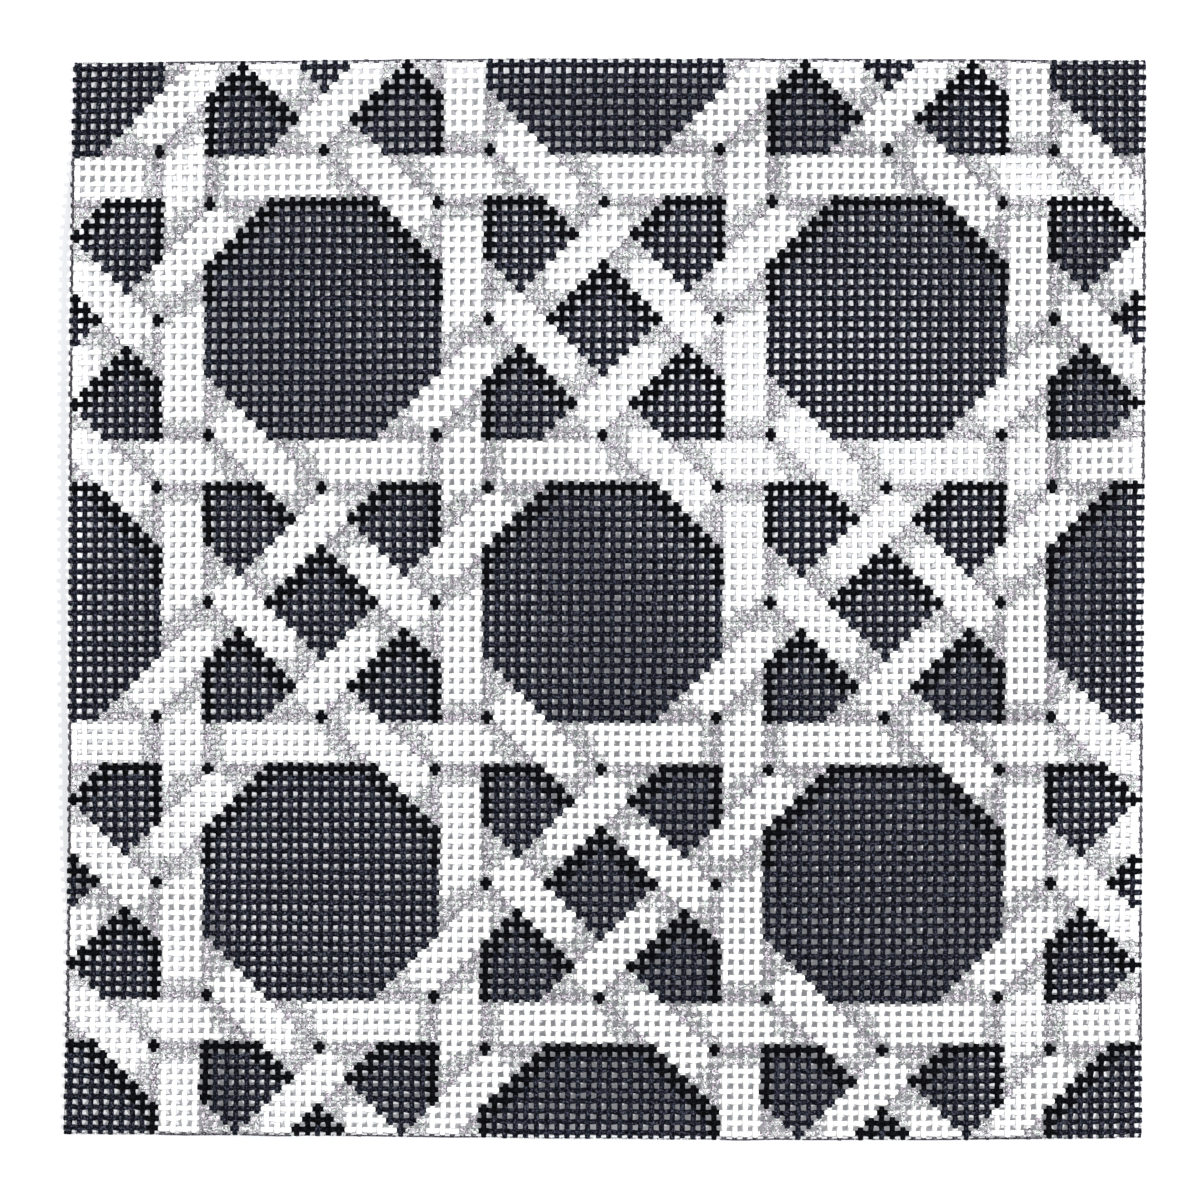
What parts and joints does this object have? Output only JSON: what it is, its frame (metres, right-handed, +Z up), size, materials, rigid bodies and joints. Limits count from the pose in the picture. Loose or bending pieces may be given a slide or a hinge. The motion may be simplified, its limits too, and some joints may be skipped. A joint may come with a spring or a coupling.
{
  "type": "needlepoint canvas panel",
  "caption": "Square panel of stiff open-weave cotton canvas, painted stitch by stitch with a chair-caning pattern, cut at the edge of its paint and lying on a surface in low swells",
  "frame": {"origin": "centre of the bounding box in plan, at the level of the surface that the canvas lies on", "axes": "+X to the right and +Y to the top of the painted design, +Z up out of the painted face"},
  "size_m": [0.2014, 0.2022, 0.0038],
  "materials": {
    "painted_canvas": "matt cotton canvas with a thin flat paint, white, pearl grey, slate and black by the stitch"
  },
  "bodies": {
    "root": {"canvas_panel": "painted_canvas"}
  },
  "joints": []
}
